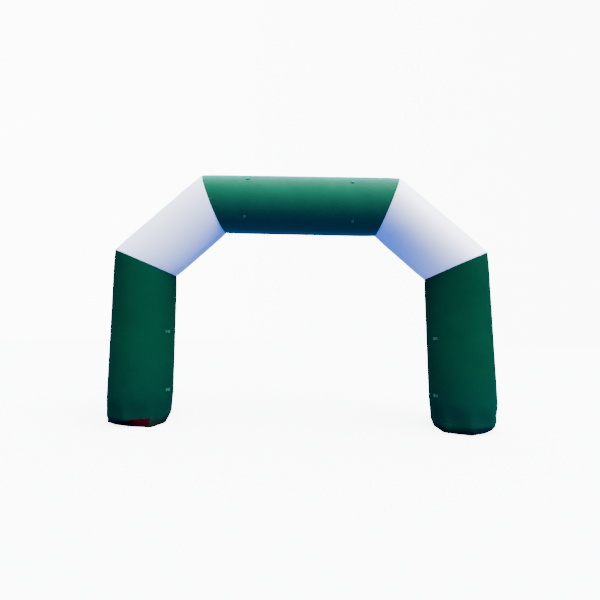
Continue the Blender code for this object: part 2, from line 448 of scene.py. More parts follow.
@dataclass(frozen=True)
class WovenTape(Finish):
    """Narrow woven webbing, or any coarse tape."""

    deep: Colour
    rib_pitch: float = 0.0026
    rib_height: float = 0.00035
    roughness: float = 0.72
    gloss_level: float = 0.1
    sheen: float = 0.5
    sheen_tint: Colour = TEAL_GLOSS

    def surface(self, wires: Wiring) -> Socket:
        """Wire the shader.

        Args:
            wires: the material's tree.

        Returns:
            The shader.
        """
        cloth = wires.cloth_place()
        across, along = wires.part(cloth, "X"), wires.part(cloth, "Y")
        turns = math.pi / self.rib_pitch
        ribs = [wires.wave(wires.math(way, across, along), turns) for way in ("ADD", "SUBTRACT")]
        share = wires.math("MULTIPLY_ADD", wires.math("MULTIPLY", *ribs), 0.5, 0.5)
        worn = wires.math("MULTIPLY", share, wires.noise(cloth, TAPE_SPECKS))
        return wires.add("ShaderNodeBsdfPrincipled",
                         Base_Color=wires.mix(worn, coloured(self.deep), coloured(self.colour)),
                         Normal=wires.bump(wires.math("MULTIPLY", share, self.rib_height)),
                         Roughness=self.roughness, Specular_IOR_Level=self.gloss_level,
                         Sheen_Weight=self.sheen, Sheen_Tint=coloured(self.sheen_tint)).outputs[0]


@dataclass(frozen=True)
class Thread(Finish):
    """Bonded polyester sewing thread."""

    deep: Colour
    roughness: float = 0.55
    gloss_level: float = 0.15

    def surface(self, wires: Wiring) -> Socket:
        """Wire the shader.

        Args:
            wires: the material's tree.

        Returns:
            The shader.
        """
        tone = wires.clouds(wires.object_place(), THREAD_SPECKS, self.deep, self.colour)
        return wires.add("ShaderNodeBsdfPrincipled", Base_Color=tone, Roughness=self.roughness,
                         Specular_IOR_Level=self.gloss_level).outputs[0]


@dataclass(frozen=True)
class GlowingScreen(Finish):
    """Matt surface of the studio that also gives off light."""

    glow: float

    def surface(self, wires: Wiring) -> Socket:
        """Wire the shader.

        Args:
            wires: the material's tree.

        Returns:
            The shader.
        """
        matt = wires.add("ShaderNodeBsdfDiffuse", Color=coloured(self.colour))
        lit = wires.add("ShaderNodeEmission", Color=(1.0, 1.0, 1.0, 1.0), Strength=self.glow)
        return wires.add("ShaderNodeAddShader", i0=matt.outputs[0], i1=lit.outputs[0]).outputs[0]


GREEN = CoatedCloth("green_cloth_dressed", (0.0055, 0.076, 0.034), (0.0045, 0.067, 0.030), (0.0, 1.0, 0.96),
                    sheen=0.68, roughness=0.62, gloss=1.125, gloss_tint=TEAL_GLOSS)
# The legs' green is a darker copy of the beam's green cloth: painted shade for the light the legs miss, with
# more painted shade towards the floor.
LEG_GREEN = CoatedCloth("leg_green_cloth_dressed", (0.0002, 0.0295, 0.0140), (0.0002, 0.0250, 0.0122),
                        TEAL_GLOSS, sheen=0.01, gloss=1.04, gloss_tint=TEAL_GLOSS, shade_height=1.15,
                        shade_colour=(0.0002, 0.0262, 0.0170))
# The left leg's copy darkens more towards the floor: painted shade of the arch's darker left side.
LEFT_LEG_GREEN = replace(LEG_GREEN, name="left_leg_green_cloth_dressed", shade_colour=(0.0003, 0.0192, 0.0120))
# Base rims go near black towards the floor: painted shade where the rims meet the floor.
HEM_GREEN = CoatedCloth("hem_green_cloth_dressed", (0.0002, 0.0285, 0.0182), (0.0002, 0.0250, 0.0160),
                        TEAL_GLOSS, sheen=0.0, roughness=0.5, gloss=1.06, gloss_tint=TEAL_GLOSS,
                        shade_height=0.12, shade_colour=(0.0016, 0.0046, 0.0030))
# Darker copy for the left base, with taller shade: painted shade of the left foot.
LEFT_HEM_GREEN = replace(HEM_GREEN, name="left_hem_green_cloth_dressed", colour=(0.0003, 0.0235, 0.0150),
                         deep=(0.0003, 0.0200, 0.0128), shade_height=0.18, shade_colour=(0.0030, 0.0058, 0.0040))
WHITE = CoatedCloth("white_cloth_dressed", (0.87, 0.885, 0.95), (0.84, 0.855, 0.93), (1.0, 1.0, 1.0),
                    sheen=0.15)
# The red patch darkens along its tail with painted shade, where it runs round into the dark left side of the
# foot.
RED = TailShadedCloth("red_cloth_dressed", (0.042, 0.0003, 0.0055), (0.029, 0.0002, 0.0038), (1.0, 0.3, 0.4),
                   sheen=0.0, roughness=0.7, gloss=1.02, gloss_tint=(1.0, 0.3, 0.4),
                   shade_colour=(0.015, 0.0016, 0.0026), thread_pitch=0.0016, weave_bump=0.00015)
WEBBING = WovenTape("webbing_dressed", (0.009, 0.072, 0.042), (0.004, 0.036, 0.021))
# Much lighter copy of the webbing for the two loops on top of the beam: painted light on their shaded faces.
LIT_WEBBING = WovenTape("faded_webbing_dressed", (0.030, 0.240, 0.165), (0.018, 0.150, 0.105))
TAPE_THREAD = Thread("tape_thread", (0.015, 0.115, 0.077), (0.008, 0.070, 0.046))
GREEN_THREAD = Thread("green_thread", (0.002, 0.040, 0.022), (0.001, 0.022, 0.012))
WHITE_THREAD = Thread("white_thread", (0.80, 0.80, 0.82), (0.60, 0.60, 0.64))


# ---------------------------------------------------------------- meshes


@dataclass
class SkinMesh:
    """A lofted skin: rings of points with the place of each on the cloth."""

    points: Array                       # rings, columns, xyz
    cloth: Array                        # rings, columns, place on the cloth in metres
    flip: bool
    marks: dict[str, Array] = field(default_factory=dict)

    def build(self, name: str, finish: Finish) -> Object:
        """Build the object, closed round and at its ends.

        Args:
            name: the piece's name.
            finish: its finish.

        Returns:
            The object.
        """
        rings, columns = self.points.shape[:2]
        index = np.arange(rings * columns).reshape(rings, columns)
        turned = np.roll(index, -1, axis=1)
        quads = np.stack((index[:-1], turned[:-1], turned[1:], index[1:]), axis=-1).reshape(-1, 4)
        faces = quads.tolist() + [index[0, ::-1].tolist(), index[-1].tolist()]
        if self.flip:
            faces = [face[::-1] for face in faces]
        mesh = bpy.data.meshes.new(name)
        mesh.from_pydata(self.points.reshape(-1, 3).tolist(), [], faces)
        mesh.shade_smooth()
        for key, values in self.marks.items():
            mark = mesh.attributes.new(key, "FLOAT", "POINT")
            mark.data.foreach_set("value", values.astype(np.float32).ravel())
        self._lay_cloth(mesh, columns)
        mesh.materials.append(finish.material())
        return placed(name, mesh)

    def _lay_cloth(self, mesh: bpy.types.Mesh, columns: int) -> None:
        """Give every face corner its place on the cloth, whole across the closing column.

        Args:
            mesh: the mesh.
            columns: points in a ring.
        """
        layer = mesh.uv_layers.new(name="cloth")
        flat = self.cloth.reshape(-1, 2)
        girth = flat[:, 0].max() + flat[1, 0] - flat[0, 0]
        corners = np.empty(len(mesh.loops), dtype=np.int32)
        mesh.loops.foreach_get("vertex_index", corners)
        places = flat[corners].copy()
        quads = (len(self.points) - 1) * columns
        grouped = corners[:quads * 4].reshape(-1, 4) % columns
        closing = (grouped.max(axis=1) == columns - 1) & (grouped.min(axis=1) == 0)
        wraps = closing[:, None] & (grouped == 0)
        places[:quads * 4, 0][wraps.ravel()] += girth
        layer.data.foreach_set("uv", places.astype(np.float32).ravel())


class Skin:
    """Finds points on a finished cloth skin."""

    def __init__(self, piece: Object) -> None:
        """Read the finished piece's mesh."""
        mesh = piece.data
        self._tree = BVHTree.FromPolygons([v.co for v in mesh.vertices], [p.vertices for p in mesh.polygons])

    def touch(self, outside: Array, inward: Array) -> Array:
        """First point of the skin along a line.

        Args:
            outside: a point clear of the skin.
            inward: direction towards it.

        Returns:
            The point on the skin.
        """
        place, _, _, _ = self._tree.ray_cast(Vector(outside), Vector(inward))
        if place is None:
            raise ValueError(f"no skin beside {tuple(outside)}")
        return np.array(place)


class NodeGroups:
    """Node group for one job, built once for each material that it ends in."""

    KIND = ""
    SIZES: dict[str, float] = {}

    def run(self, piece: Object, name: str, material: Material, sizes: dict[str, float], seed: int) -> Object:
        """Run the group on a piece and turn the result into a plain mesh.

        Args:
            piece: what the group works on, which is removed.
            name: name of the plain piece.
            material: the material.
            sizes: inputs that differ from the group's own.
            seed: picks the pattern.

        Returns:
            The plain piece, at the origin.
        """
        modifier = piece.modifiers.new(self.KIND, "NODES")
        modifier.node_group = self._group(material)
        values = {**self.SIZES, **sizes, "Seed": seed}
        for item in modifier.node_group.interface.items_tree:
            if item.item_type == "SOCKET" and item.in_out == "INPUT" and item.name in values:
                modifier[item.identifier] = values[item.name]
        evaluated = piece.evaluated_get(bpy.context.evaluated_depsgraph_get())
        mesh = bpy.data.meshes.new_from_object(evaluated)
        bpy.data.objects.remove(piece, do_unlink=True)
        mesh.name = name
        return placed(name, mesh)

    @cache
    def _group(self, material: Material) -> bpy.types.GeometryNodeTree:
        """The group that ends in one material, made at its first use.

        Args:
            material: the material.

        Returns:
            The group.
        """
        group = bpy.data.node_groups.new(f"{self.KIND}_{material.name}", "GeometryNodeTree")
        sockets = group.interface
        sockets.new_socket("Geometry", in_out="INPUT", socket_type="NodeSocketGeometry")
        for key, value in self.SIZES.items():
            sockets.new_socket(key, in_out="INPUT", socket_type="NodeSocketFloat").default_value = value
        sockets.new_socket("Seed", in_out="INPUT", socket_type="NodeSocketInt")
        sockets.new_socket("Geometry", in_out="OUTPUT", socket_type="NodeSocketGeometry")
        wires = Wiring(group)
        drawn = self._draw(wires, wires.add("NodeGroupInput").outputs)
        whole = wires.add("GeometryNodeRealizeInstances", Geometry=drawn).outputs[0]
        dressed = wires.add("GeometryNodeSetMaterial", Geometry=whole, Material=material).outputs[0]
        wires.add("NodeGroupOutput", Geometry=dressed)
        return group

    def _draw(self, wires: Wiring, given: Outputs) -> Socket:
        """Wire the group's own work, as each kind of group does in its own way."""
        raise NotImplementedError


class PuckerNodes(NodeGroups):
    """Node group that draws puckers into a cloth skin beside its seams."""

    KIND = "puckers"
    SIZES = {"Side Depth": 0.009, "Side Pitch": 0.085, "Side Reach": 0.14, "Ring Depth": 0.004,
             "Ring Pitch": 0.060, "Ring Reach": 0.16, "Billow": 0.003}
    SEED_STEP = 17.3                    # from one seed's pattern to the next
    HELD_TO = 0.004                     # the cloth is held flat up to here from a seam round it
    FREE_FROM = 0.035
    MEAN = 0.56                         # the pattern's value that stays level
    SHARPNESS = 2.4
    FADE_POWER = 1.6

    def pucker(self, piece: Object, sizes: dict[str, float], seed: int) -> Object:
        """Draw the puckers and make the piece plain.

        Args:
            piece: skin with the marks side_off, side_run, ring_off and ring_run.
            sizes: inputs that differ from the group's own.
            seed: picks the pattern.

        Returns:
            The puckered piece.
        """
        name = piece.name
        piece.name = f"{name}_smooth"
        return self.run(piece, name, piece.data.materials[0], sizes, seed)

    def _draw(self, wires: Wiring, given: Outputs) -> Socket:
        """Wire the puckers.

        Args:
            wires: the group's tree.
            given: the group's inputs.

        Returns:
            The puckered skin.
        """
        seed = wires.math("MULTIPLY", given["Seed"], self.SEED_STEP)
        side, ring = (self._folds(wires, given, kind, seed) for kind in ("Side", "Ring"))
        drift = wires.noise(wires.add("GeometryNodeInputPosition").outputs[0], BILLOWS, seed)
        sway = wires.math("MULTIPLY", wires.math("SUBTRACT", drift, 0.5), given["Billow"])
        total = wires.math("ADD", wires.math("ADD", side, ring), sway)
        free = wires.ease(self._mark(wires, "ring_off"), self.HELD_TO, self.FREE_FROM)
        shift = wires.add("ShaderNodeVectorMath", {"operation": "SCALE"},
                          Vector=wires.add("GeometryNodeInputNormal").outputs[0],
                          Scale=wires.math("MULTIPLY", total, free)).outputs[0]
        return wires.add("GeometryNodeSetPosition", Geometry=given["Geometry"], Offset=shift).outputs[0]

    @staticmethod
    def _mark(wires: Wiring, name: str) -> Socket:
        """A stored mark of the skin, by its name."""
        return wires.add("GeometryNodeInputNamedAttribute", {"data_type": "FLOAT"}, Name=name).outputs[0]

    def _folds(self, wires: Wiring, given: Outputs, kind: str, seed: Socket) -> Socket:
        """Height of the folds that run away from one kind of seam.

        Args:
            wires: the group's tree.
            given: the group's inputs.
            kind: Side or Ring.
            seed: picks the pattern.

        Returns:
            The height.
        """
        beside = wires.math("DIVIDE", self._mark(wires, f"{kind.lower()}_off"), given[f"{kind} Reach"])
        steps = wires.math("DIVIDE", self._mark(wires, f"{kind.lower()}_run"), given[f"{kind} Pitch"])
        spot = wires.add("ShaderNodeCombineXYZ", X=steps, Y=beside, Z=seed).outputs[0]
        wave = wires.math("SUBTRACT", wires.noise(spot, FOLDS), self.MEAN)
        sharp = wires.math("MULTIPLY", wave, self.SHARPNESS)
        near = wires.math("MAXIMUM", wires.math("SUBTRACT", 1.0, wires.math("ABSOLUTE", beside)), 0.0)
        faded = wires.math("MULTIPLY", sharp, wires.math("POWER", near, self.FADE_POWER))
        return wires.math("MULTIPLY", faded, given[f"{kind} Depth"])


class StitchNodes(NodeGroups):
    """Node group that lays stitches along seam lines."""

    KIND = "stitches"
    SIZES = {"Stitch Pitch": 0.010, "Stitch Length": 0.0075, "Thread Width": 0.0018}
    SHORTEST = 0.92                     # share of its length that the shortest stitch has
    BEAD_SIDES = 6
    BEAD_RINGS = 4

    def sew(self, name: str, lines: list[Array], thread: Thread, slot: str,
            sizes: dict[str, float]) -> None:
        """Lay stitches along lines.

        Args:
            name: the piece's name.
            lines: points of each line.
            thread: the thread's finish.
            slot: not used.
            sizes: inputs that differ from the group's own.
        """
        starts = np.cumsum([0] + [len(line) for line in lines])
        edges = [(spot, spot + 1) for first, last in zip(starts, starts[1:])
                 for spot in range(first, last - 1)]
        mesh = bpy.data.meshes.new(f"{name}_lines")
        mesh.from_pydata(np.concatenate(lines).tolist(), edges, [])
        guide = placed(f"{name}_lines", mesh)
        piece = self.run(guide, name, thread.material(), sizes, len(name))
        piece.data.shade_smooth()
        carry(piece)

    def _draw(self, wires: Wiring, given: Outputs) -> Socket:
        """Wire the stitches.

        Args:
            wires: the group's tree.
            given: the group's inputs.

        Returns:
            The stitches.
        """
        curve = wires.add("GeometryNodeMeshToCurve", Mesh=given["Geometry"]).outputs[0]
        evenly = wires.add("GeometryNodeResampleCurve", {"mode": "LENGTH"}, Curve=curve,
                           Length=given["Stitch Pitch"])
        tangent = wires.add("GeometryNodeInputTangent").outputs[0]
        turn = wires.add("FunctionNodeAlignRotationToVector", {"axis": "X"}, Vector=tangent).outputs[0]
        bead = wires.add("GeometryNodeMeshUVSphere", Segments=self.BEAD_SIDES, Rings=self.BEAD_RINGS,
                         Radius=0.5).outputs["Mesh"]
        uneven = wires.add("FunctionNodeRandomValue", {"data_type": "FLOAT"}, Min=self.SHORTEST, Max=1.0,
                           Seed=given["Seed"]).outputs["Value"]
        size = wires.add("ShaderNodeCombineXYZ", X=wires.math("MULTIPLY", given["Stitch Length"], uneven),
                         Y=given["Thread Width"], Z=given["Thread Width"]).outputs[0]
        return wires.add("GeometryNodeInstanceOnPoints", Points=evenly.outputs[0], Instance=bead,
                         Rotation=turn, Scale=size).outputs[0]


PUCKERS = PuckerNodes()
STITCHES = StitchNodes()


# ---------------------------------------------------------------- the arch


@dataclass(frozen=True)
class Hem:
    """Eight-sided hem: the facets at its corners, and their shares of the radius on the floor."""

    facets: tuple[int, ...]
    shares: tuple[float, ...]
    rounding: float = 5.0               # degrees over which a corner is softened
    samples: int = 7

    @property
    def corners(self) -> Array:
        """Degrees round the tube of each corner."""
        return np.array(self.facets) * FACET

    def share(self, angles: Array, on_floor: bool = False) -> Array:
        """Share of the radius at which the sides lie.

        Args:
            angles: degrees round the tube.
            on_floor: whether the floor outline is meant.

        Returns:
            The share at each angle.
        """
        spread = np.linspace(-self.rounding, self.rounding, self.samples)
        return np.mean([self._sharp(angles + turn, on_floor) for turn in spread], axis=0)

    def _sharp(self, angles: Array, on_floor: bool) -> Array:
        """Share of the radius with sharp corners.

        Args:
            angles: degrees round the tube.
            on_floor: whether the floor outline is meant.

        Returns:
            The share at each angle.
        """
        corners = self.corners
        shares = np.array(self.shares) if on_floor else np.ones(len(corners))
        angles = np.mod(angles, 360.0)
        spot = (np.searchsorted(corners, angles, side="right") - 1) % len(corners)
        after = (spot + 1) % len(corners)
        past = np.radians(np.mod(angles - corners[spot], 360.0))
        ahead = np.radians(np.mod(corners[after] - angles, 360.0))
        near, far = shares[spot], shares[after]
        return near * far * np.sin(past + ahead) / (near * np.sin(past) + far * np.sin(ahead))


@dataclass(frozen=True)
class Dimple:
    """Place where something sewn on pulls the cloth in, with folds that run away from it."""

    angle: float
    distance: float
    depth: float = 0.004
    reach: float = 0.060
    folds: float = 4.0
    fold_share: float = 0.35

    def depth_at(self, across: Array, up: Array) -> Array:
        """Depth of the cloth at places across and up from the middle."""
        folds = 1.0 + self.fold_share * np.cos(self.folds * np.arctan2(up, across) + self.angle)
        return self.depth * folds * np.exp(-((np.hypot(across, up) / self.reach) ** 2))


@dataclass(frozen=True)
class TubeLine:
    """A straight tube between two seam planes."""

    start: Array
    end: Array
    start_normal: Array
    end_normal: Array
    outside: Array
    radius: float
    hem: Hem | None = None

    @property
    def along(self) -> Array:
        """Direction of the centre line."""
        return unit(self.end - self.start)

    @property
    def length(self) -> float:
        """Length of the centre line."""
        return float(np.linalg.norm(self.end - self.start))

    @property
    def inside_out(self) -> bool:
        """Whether angles run clockwise about the centre line."""
        return np.cross(self.outside, FRONT) @ self.along <= 0

    def square(self, angles: Numbers) -> Array:
        """Directions from the centre line towards lines of the cloth, by their degrees round it."""
        turn = np.radians(np.asarray(angles, dtype=float))[..., None]
        return np.cos(turn) * self.outside + np.sin(turn) * FRONT

    def reach_of(self, angles: Numbers, radius: Numbers, at_end: bool) -> Array:
        """How far along the centre line each line of the cloth meets an end seam.

        Args:
            angles: degrees round the tube.
            radius: the cloth's distance from the centre line there.
            at_end: the end seam, or else the start seam.

        Returns:
            Distances from the start of the centre line.
        """
        normal = self.end_normal if at_end else self.start_normal
        lean = self.along @ normal
        place = -radius * (self.square(angles) @ normal) / lean
        inset = GAP / 2 / abs(lean)
        return place + (self.length - inset if at_end else inset)

    def on_skin(self, skin: Skin, angles: Array, axial: Array, lift: float) -> Array:
        """Points on the finished skin.

        Args:
            skin: the finished skin.
            angles: degrees round the tube.
            axial: distances along the centre line.
            lift: distance off the skin.

        Returns:
            The points.
        """
        found = []
        for out, place in zip(self.square(angles), axial):
            axis = self.start + self.along * place
            found.append(skin.touch(axis + out * (self.radius + CLEAR), -out) + out * lift)
        return np.array(found)


class Look(NamedTuple):
    """How one tube is finished, with the seed of its puckers and their depth at its side seams."""

    finish: CoatedCloth
    thread: Thread
    slot: str
    seed: int
    side_depth: float


@dataclass
class ClothTube:
    """One air-filled tube, from seam to seam."""

    name: str
    line: TubeLine
    look: Look
    dimples: tuple[Dimple, ...]
    ring_step: float = 0.012
    lip_rings: tuple[float, ...] = (0.0, 0.003, 0.007, 0.014)
    column_count: int = 240
    seam_draw: float = 0.015            # share of the radius lost at an end seam
    seam_reach: float = 0.300
    lip: float = 0.0045                 # depth of the groove at an end seam
    lip_reach: float = 0.014
    side_draw: float = 0.0065           # depth of the crease at a side seam
    side_reach: float = 0.075
    fell_width: float = 0.016           # folded seam allowance along a side seam
    fell_edge: float = 0.004
    fell_rise: float = 0.0012
    fell_start: float = 0.02
    hem_fade: float = 0.300
    side_row_off: float = 0.011         # rows of stitching beside the seams
    end_row_off: float = 0.012
    row_step: float = 0.02
    row_points: int = 181
    thread_lift: float = 0.0004
    fill: float = 0.95

    def build(self) -> Object:
        """Build the puckered skin.

        Returns:
            The piece.
        """
        line, turns = self.line, even_turns(self.column_count)
        whole, none = np.full((1, 1), line.length), np.zeros((1, 1))
        first = line.reach_of(turns, self._radius(turns[None, :], none, whole)[0], False)
        last = line.reach_of(turns, self._radius(turns[None, :], whole, none)[0], True)
        from_start = (last - first)[None, :] * (self._ring_distances() / line.length)[:, None]
        from_end = (last - first)[None, :] - from_start
        axial = first[None, :] + from_start
        radius = self._radius(turns[None, :], from_start, from_end)
        for dimple in self.dimples:
            across = np.radians(turns[None, :] - dimple.angle) * line.radius
            radius -= dimple.depth_at(across, axial - dimple.distance)
        points = line.start + axial[..., None] * line.along + radius[..., None] * line.square(turns)[None]
        girth = np.broadcast_to(np.radians(turns) * line.radius, radius.shape)
        near_end = from_end < from_start
        outer_half = np.cos(np.radians(turns)) > 0
        marks = {
            "side_off": np.broadcast_to(np.radians(off_side(turns)) * line.radius, radius.shape),
            "side_run": axial + (outer_half * OUTER_SHIFT)[None, :],
            "ring_off": np.where(near_end, from_end, from_start),
            "ring_run": girth + near_end * END_SHIFT,
        }
        cloth = np.stack((girth, axial), axis=-1)
        mesh = SkinMesh(points, cloth, line.inside_out, marks)
        skin = mesh.build(f"{self.name}_cloth", self.look.finish)
        piece = PUCKERS.pucker(skin, {"Side Depth": self.look.side_depth}, self.look.seed)
        stand_for(piece, self.name)
        return piece

    def _ring_distances(self) -> Array:
        """Distances of the rings from the start, closer together beside the end seams.

        Returns:
            The distances, in order.
        """
        lips = np.array(self.lip_rings)
        inner = self.line.length - 2 * lips[-1]
        steps = np.linspace(0.0, inner, round(inner / self.ring_step) + 1)[1:-1] + lips[-1]
        return np.concatenate((lips, steps, self.line.length - lips[::-1]))

    def _radius(self, angles: Array, from_start: Array, from_end: Array) -> Array:
        """Distance of the cloth from the centre line, before its puckers.

        Args:
            angles: degrees round the tube.
            from_start: distance from the start seam.
            from_end: distance from the end seam.

        Returns:
            The distances.
        """
        near = np.minimum(from_start, from_end)
        drawn = from_end if self.line.hem else near
        beside = np.abs(np.radians(off_side(angles))) * self.line.radius
        radius = self.line.radius * (1.0 - self.seam_draw * falloff(drawn, self.seam_reach))
        radius = radius - self.lip * falloff(near, self.lip_reach)
        radius = radius - self.side_draw * falloff(beside, self.side_reach)
        fell = smooth((self.fell_width / 2 - beside) / self.fell_edge) * smooth(near / self.fell_start)
        radius = radius + self.fell_rise * fell
        if self.line.hem:
            squareness = 1.0 - smooth(from_start / self.hem_fade)
            radius = radius * (1.0 + squareness * (self.line.hem.share(angles) - 1.0))
        return radius

    def sew(self, skin: Skin) -> None:
        """Stitch both sides of the side seams, and round the end seams.

        Args:
            skin: the finished skin.
        """
        rows = []
        turn = math.degrees(self.side_row_off / self.line.radius)
        for angle in (-turn, turn, 180.0 - turn, 180.0 + turn):
            first = float(self.line.reach_of(angle, self.line.radius, False)) + self.row_step
            last = float(self.line.reach_of(angle, self.line.radius, True)) - self.row_step
            spots = np.linspace(first, last, round((last - first) / self.row_step))
            rows.append(self.line.on_skin(skin, np.full(len(spots), angle), spots, self.thread_lift))
        round_tube = np.linspace(0.0, 360.0, self.row_points)
        for at_end in (False, True):
            draw = self.seam_draw if at_end or not self.line.hem else 0.0
            places = self.line.reach_of(round_tube, self.line.radius * (1.0 - draw), at_end)
            places = places - self.end_row_off if at_end else places + self.end_row_off
            rows.append(self.line.on_skin(skin, round_tube, places, self.thread_lift))
        STITCHES.sew(f"{self.name}_stitches", rows, self.look.thread, self.look.slot, {})


@dataclass
class GatheredBase:
    """Flat-bottomed base whose pleated rim swells from the floor to the leg's seam."""

    name: str
    leg: TubeLine
    top: float
    seed: int
    finish: CoatedCloth
    ring_count: int = 24
    column_count: int = 360
    swell: float = 1.4                  # power of the rim's swelling
    lip: float = 0.0045
    lip_reach: float = 0.014
    pleat_depth: float = 0.009
    pleat_pitch: float = 0.042
    pleat_reach: float = 0.30
    fill: float = 0.9

    def _ring(self, angles: Array, height: float) -> Array:
        """Points of the rim at one height, before its pleats.

        Args:
            angles: degrees round the leg.
            height: height over the floor.

        Returns:
            The points.
        """
        leg = self.leg
        middle = leg.start - leg.along * (self.top / leg.along[2])
        way = leg.square(angles)
        floor = middle + unit(way * LEVEL) * (leg.radius * leg.hem.share(angles, on_floor=True))[..., None]
        radius = leg.radius * leg.hem.share(angles) - self.lip * falloff(self.top - height, self.lip_reach)
        place = leg.reach_of(angles, radius, False)
        seam = leg.start + place[..., None] * leg.along + radius[..., None] * way
        share = 1.0 - (1.0 - np.clip(height / self.top, 0.0, 1.0)) ** self.swell
        spot = floor + (seam - floor) * share
        spot[..., 2] = height
        return spot

    def build(self) -> Object:
        """Build the base.

        Returns:
            The piece.
        """
        turns = even_turns(self.column_count)
        top = self.top - GAP / 2
        heights = top * (1.0 - np.cos(np.linspace(0.0, np.pi, self.ring_count))) / 2
        points = np.stack([self._ring(turns, float(height)) for height in heights])
        girth = np.broadcast_to(np.radians(turns) * self.leg.radius, points.shape[:2])
        rise = np.broadcast_to(heights[:, None], points.shape[:2])
        marks = {
            "side_off": np.full(points.shape[:2], NO_SEAM),
            "side_run": np.zeros(points.shape[:2]),
            "ring_off": np.minimum(rise, top - rise),
            "ring_run": girth,
        }
        cloth = np.stack((girth, rise), axis=-1)
        mesh = SkinMesh(points, cloth, self.leg.inside_out, marks)
        skin = mesh.build(f"{self.name}_cloth", self.finish)
        sizes = {"Ring Depth": self.pleat_depth, "Ring Pitch": self.pleat_pitch,
                 "Ring Reach": self.pleat_reach, "Billow": 0.0}
        piece = PUCKERS.pucker(skin, sizes, self.seed)
        stand_for(piece, self.name)
        return piece


@dataclass(frozen=True)
class TieLoop:
    """Webbing loop with two sewn ends and a raised middle."""

    node: str
    tube: str
    distance: float                     # of its place along the tube's centre line
    facets: float                       # of its place round the tube
    finish: WovenTape = WEBBING
    length: float = 0.082
    width: float = 0.042
    thickness: float = 0.0022
    sewn: float = 0.016
    rise: float = 0.026
    squareness: int = 3                 # power of the raised middle's fall towards its ends
    lift: float = 0.0004
    steps: int = 48
    corner_points: int = 5
    flat_points: int = 5
    row_insets: tuple[float, ...] = (0.004, 0.011)
    row_margin: float = 0.004
    row_points: int = 8
    thread_lift: float = 0.0012

    @property
    def angle(self) -> float:
        """Degrees round the tube."""
        return self.facets * FACET

    def _place(self, line: TubeLine) -> tuple[Array, Array, Array]:
        """Point of the tube's centre line under the loop, and the directions out and along the loop."""
        axis = line.start + line.along * self.distance
        return axis, line.square(self.angle), line.square(self.angle + 90.0)

    def _touch(self, line: TubeLine, skin: Skin, spot: float) -> Array:
        """Point of the skin under a spot along the loop."""
        axis, out, way = self._place(line)
        return skin.touch(axis + way * spot + out * (line.radius + CLEAR), -out)

    def build(self, line: TubeLine, skin: Skin) -> None:
        """Build the loop on its tube.

        Args:
            line: the tube's line.
            skin: the tube's finished skin.
        """
        axis, out, way = self._place(line)
        across = np.linspace(-self.length / 2, self.length / 2, self.steps)
        share = np.clip(np.abs(across) / (self.length / 2 - self.sewn), 0.0, 1.0)
        height = self.rise * (1.0 - share ** self.squareness)
        floor = np.array([(self._touch(line, skin, spot) - axis) @ out for spot in across])
        rest = np.maximum(floor + self.lift, min(floor[0], floor[-1]) + self.lift + height)
        run = np.stack((across, rest), axis=-1)
        slope = unit(np.gradient(run, axis=0))
        normal = np.stack((-slope[:, 1], slope[:, 0]), axis=-1)
        section = self._section()
        centre = run + normal * (self.thickness / 2)
        flat = centre[:, None, :] + normal[:, None, :] * section[None, :, 1:2]
        points = (axis + flat[..., 0:1] * way + flat[..., 1:2] * out
                  + section[None, :, 0:1] * line.along * np.ones((self.steps, 1, 1)))
        lengths = np.concatenate(([0.0], np.cumsum(np.linalg.norm(np.diff(run, axis=0), axis=1))))
        cloth = np.stack(np.broadcast_arrays(section[None, :, 0], lengths[:, None]), axis=-1)
        flip = not np.cross(way, out) @ line.along < 0
        piece = SkinMesh(points, cloth, flip).build(f"{self.node}_webbing", self.finish)
        stand_for(piece, self.node)

    def _section(self) -> Array:
        """Rounded flat section of the webbing.

        Returns:
            Place across it and height of each point, anticlockwise.
        """
        half, thick = self.width / 2, self.thickness / 2
        turn = np.linspace(-np.pi / 2, np.pi / 2, self.corner_points)
        right = np.stack((half - thick + thick * np.cos(turn), thick * np.sin(turn)), axis=-1)
        across = np.linspace(half - thick, thick - half, self.flat_points + 2)[1:-1]
        top = np.stack((across, np.full(self.flat_points, thick)), axis=-1)
        return np.concatenate((right, top, -right, -top))

    def rows(self, line: TubeLine, skin: Skin) -> list[Array]:
        """Rows of stitching across the two sewn ends.

        Args:
            line: the tube's line.
            skin: the tube's finished skin.

        Returns:
            The points of each row.
        """
        out = self._place(line)[1]
        reach = self.width / 2 - self.row_margin
        steps = np.linspace(-reach, reach, self.row_points)
        rows = []
        for end in (-1.0, 1.0):
            for inset in self.row_insets:
                seat = self._touch(line, skin, end * (self.length / 2 - inset))
                rows.append(seat + out * (self.thickness + self.thread_lift) + steps[:, None] * line.along)
        return rows


